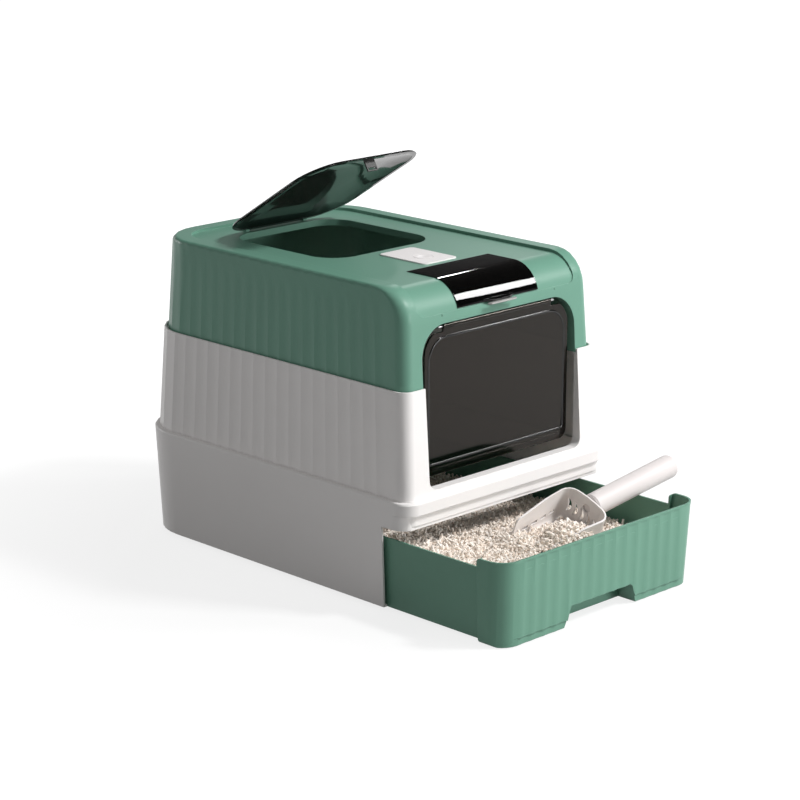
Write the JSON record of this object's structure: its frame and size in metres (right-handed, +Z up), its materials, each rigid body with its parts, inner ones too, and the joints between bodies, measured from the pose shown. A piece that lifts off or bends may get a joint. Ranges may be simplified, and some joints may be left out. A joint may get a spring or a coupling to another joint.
{
  "type": "drawer litter box",
  "caption": "Enclosed litter box: base with pull-out drawer, ring and hood, swinging flap, hinged roof lid over the top entry, filter window and scoop.",
  "frame": {"origin": "on the floor, under the middle of the base", "axes": "+X across the front to the right, -Y out of the front where the drawer comes out, +Z up"},
  "size_m": [0.4457, 0.7028, 0.534],
  "materials": {
    "white_plastic": "fine satin moulding",
    "green_plastic": "fine satin moulding",
    "smoked_plastic": "clear polished, smoked",
    "white_gloss": "polished moulding",
    "white_slides": "smooth sliding plastic",
    "scoop_plastic": "fine satin moulding",
    "rubber_pads": "matt",
    "screw_steel": "zinc plated",
    "rod_steel": "drawn bright",
    "spring_steel": "drawn wire",
    "charcoal_felt": "fibrous pad",
    "litter": "loose pressed pellets, dry and matt"
  },
  "bodies": {
    "base": {"base_housing": "white_plastic", "base_feet": "rubber_pads", "left_runner": "white_slides", "right_runner": "white_slides", "runner_screws": "screw_steel", "drawer_stops": "white_slides"},
    "drawer": {"drawer_tray": "green_plastic", "litter_bed": "litter"},
    "scoop": {"scoop_basket": "scoop_plastic", "scoop_handle": "scoop_plastic"},
    "ring": {"mid_ring": "white_plastic"},
    "hood_shell": {"hood": "green_plastic", "door_hinge_rod": "rod_steel", "lid_hinge_rod": "rod_steel", "window_hinge_rod": "rod_steel", "latch_plate": "white_gloss", "latch_housing": "green_plastic", "latch_screws": "screw_steel", "latch_spring": "spring_steel", "filter_tray": "green_plastic", "filter_pack": "charcoal_felt"},
    "flap": {"door_flap": "smoked_plastic"},
    "lid": {"roof_lid": "smoked_plastic"},
    "window": {"window_cover": "smoked_plastic"},
    "button": {"latch_button": "white_gloss"},
    "hook": {"latch_hook": "white_slides"}
  },
  "joints": [
    {"name": "drawer_slide", "type": "slide", "parent": "base", "child": "drawer", "axis": [0, -1, 0], "range_m": [-0.161, 0]},
    {"name": "scoop_lift", "type": "slide", "parent": "drawer", "child": "scoop", "axis": [0.7103, -0.4735, 0.5209], "range_m": [0, 0.341]},
    {"name": "ring_lift", "type": "slide", "parent": "base", "child": "ring", "axis": [0, 0, 1], "range_m": [0, 0.16]},
    {"name": "hood_lift", "type": "slide", "parent": "ring", "child": "hood_shell", "axis": [0, 0, 1], "range_m": [0, 0.15]},
    {"name": "flap_swing", "type": "hinge", "parent": "hood_shell", "child": "flap", "pos_m": [0, -0.2423, 0.3605], "axis": [1, 0, 0], "range_deg": [-75, 75]},
    {"name": "lid_hinge", "type": "hinge", "parent": "hood_shell", "child": "lid", "pos_m": [0, 0.1785, 0.4162], "axis": [-1, 0, 0], "range_deg": [-31.5, 75]},
    {"name": "window_hinge", "type": "hinge", "parent": "hood_shell", "child": "window", "pos_m": [0, -0.1561, 0.4101], "axis": [-1, 0, 0], "range_deg": [0, 90]},
    {"name": "button_press", "type": "slide", "parent": "hood_shell", "child": "button", "axis": [0, 0, -1], "range_m": [0, 0.003], "stiffness_N_per_m": 800, "springref_m": -0.002, "deforming": ["latch_spring"]},
    {"name": "hook_slide", "type": "slide", "parent": "hood_shell", "child": "hook", "axis": [0, -1, 0], "range_m": [0, 0.003]}
  ],
  "couplings": [
    {"joint": "scoop_lift", "follows": "drawer_slide", "ratio": -2.1119},
    {"joint": "hook_slide", "follows": "button_press", "ratio": 1}
  ]
}
